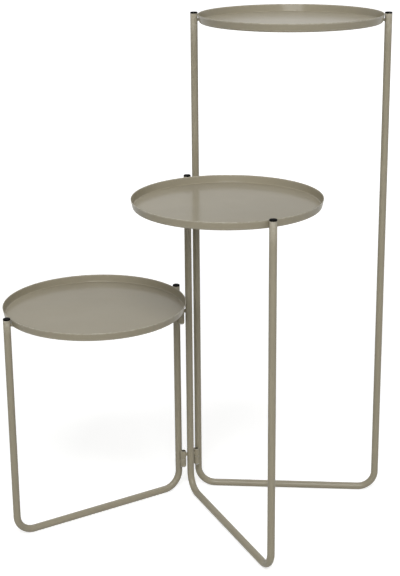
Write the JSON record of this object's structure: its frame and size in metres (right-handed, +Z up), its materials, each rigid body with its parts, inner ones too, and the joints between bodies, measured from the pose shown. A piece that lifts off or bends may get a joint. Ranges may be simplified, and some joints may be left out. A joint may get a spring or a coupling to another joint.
{
  "type": "tiered plant stand",
  "caption": "Folding plant stand with round rimmed trays on bent-tube frames of rising height, hinged side by side so that they fan out.",
  "frame": {"origin": "on the floor, under the middle of the stand's bounding box", "axes": "+Z up; +X along the plane of the highest frame, from its hinged leg to its free leg; the picture looks along about +Y"},
  "size_m": [0.6306, 0.4594, 0.8459],
  "materials": {
    "powder_coat": "satin powder coat in a warm grey-beige, on frames, trays and hinges",
    "black_plastic": "moulded black plastic, slightly glossy",
    "bare_steel": "plain zinc-plated steel"
  },
  "bodies": {
    "mid_section": {"mid_frame": "powder_coat", "mid_tray": "powder_coat", "mid_stud_hinge_side": "powder_coat", "mid_stud_outer_side": "powder_coat", "mid_plug_hinge_side": "black_plastic", "mid_plug_outer_side": "black_plastic", "low_lower_hinge_fixed_knuckle": "powder_coat", "low_lower_hinge_pin": "bare_steel", "low_upper_hinge_fixed_knuckle": "powder_coat", "low_upper_hinge_pin": "bare_steel", "top_lower_hinge_fixed_knuckle": "powder_coat", "top_lower_hinge_pin": "bare_steel", "top_upper_hinge_fixed_knuckle": "powder_coat", "top_upper_hinge_pin": "bare_steel"},
    "low_section": {"low_frame": "powder_coat", "low_tray": "powder_coat", "low_stud_hinge_side": "powder_coat", "low_stud_outer_side": "powder_coat", "low_plug_hinge_side": "black_plastic", "low_plug_outer_side": "black_plastic", "low_lower_hinge_swing_knuckle": "powder_coat", "low_upper_hinge_swing_knuckle": "powder_coat"},
    "top_section": {"top_frame": "powder_coat", "top_tray": "powder_coat", "top_stud_hinge_side": "powder_coat", "top_stud_outer_side": "powder_coat", "top_plug_hinge_side": "black_plastic", "top_plug_outer_side": "black_plastic", "top_lower_hinge_swing_knuckle": "powder_coat", "top_upper_hinge_swing_knuckle": "powder_coat"}
  },
  "joints": [
    {"name": "low_frame_swing", "type": "hinge", "parent": "mid_section", "child": "low_section", "pos_m": [-0.02953, 0.05512, 0.063], "axis": [0, 0, -1], "range_deg": [-82, 50]},
    {"name": "top_frame_swing", "type": "hinge", "parent": "mid_section", "child": "top_section", "pos_m": [-0.00718, 0.06725, 0.063], "axis": [0, 0, 1], "range_deg": [-61.5, 70.5]}
  ]
}
